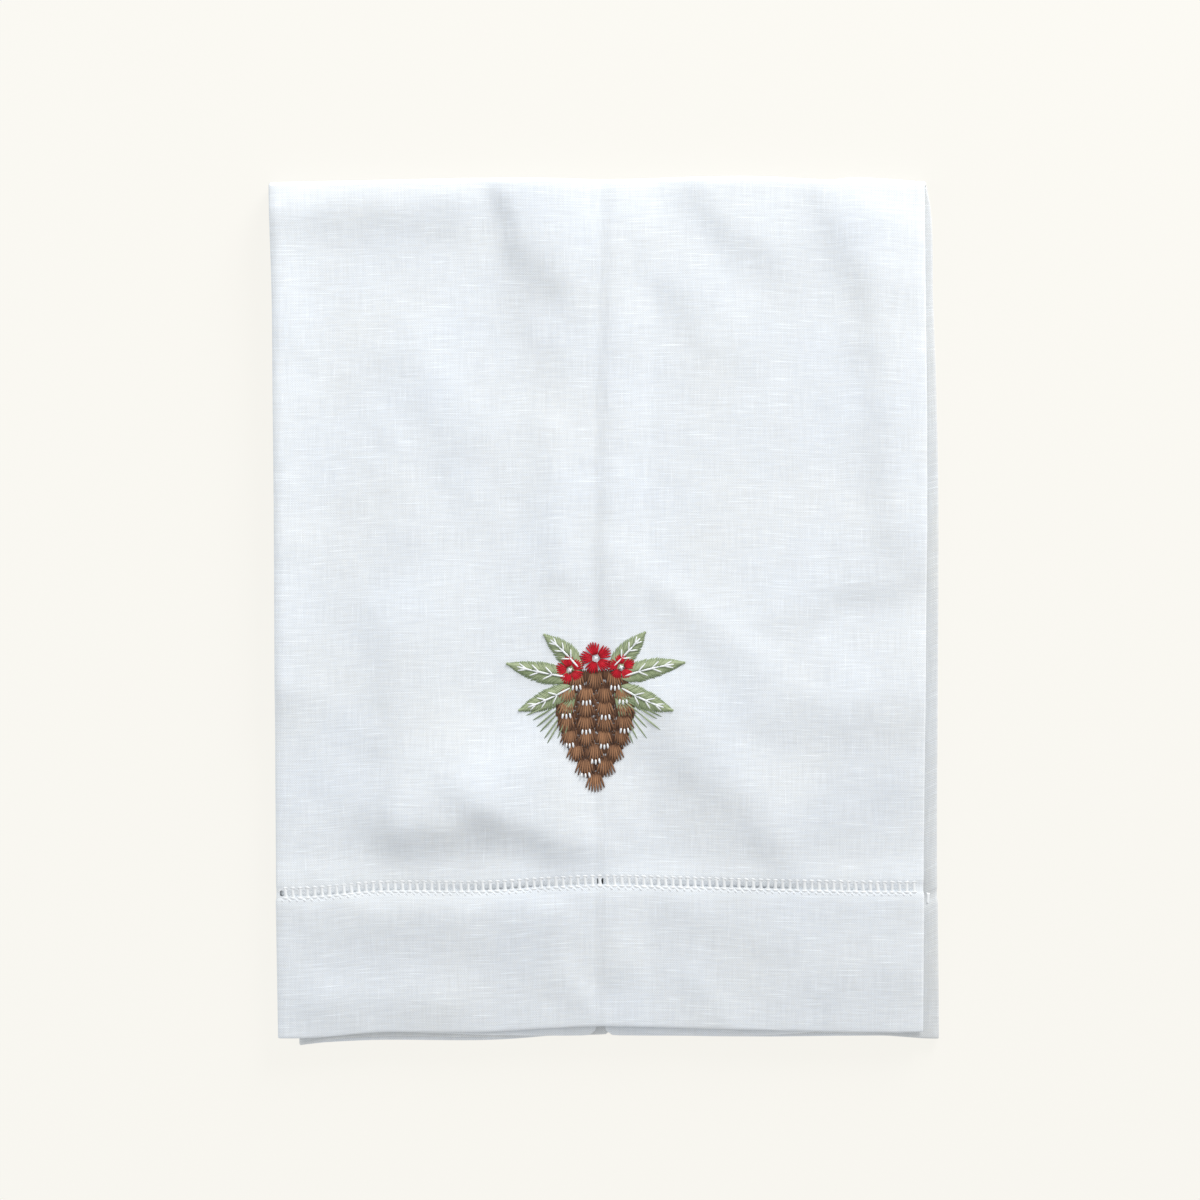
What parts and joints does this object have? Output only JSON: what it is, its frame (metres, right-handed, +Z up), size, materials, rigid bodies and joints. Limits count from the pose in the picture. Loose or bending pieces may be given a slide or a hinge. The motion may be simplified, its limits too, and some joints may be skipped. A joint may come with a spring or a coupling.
{
  "type": "hand towel",
  "caption": "White linen hand towel folded to a quarter and laid flat: sides turned under, then doubled over, with hemstitched ends and an embroidered pine cone and leaves.",
  "frame": {"origin": "on the surface that the towel rests on, under the middle of its outline", "axes": "+Z up out of the surface; +Y towards the doubled-over edge, away from the hemstitched ends; +X to the right as seen from above with the hems near"},
  "size_m": [0.1972, 0.2556, 0.0089],
  "materials": {
    "linen": "matte slubby plain-weave linen, white",
    "white_thread": "soft white cotton sewing and embroidery thread",
    "brown_thread": "brown stranded embroidery cotton with a slight sheen",
    "green_thread": "sage green stranded embroidery cotton with a slight sheen",
    "red_thread": "red stranded embroidery cotton with a slight sheen"
  },
  "bodies": {
    "root": {"folded_towel": "linen"}
  },
  "joints": []
}
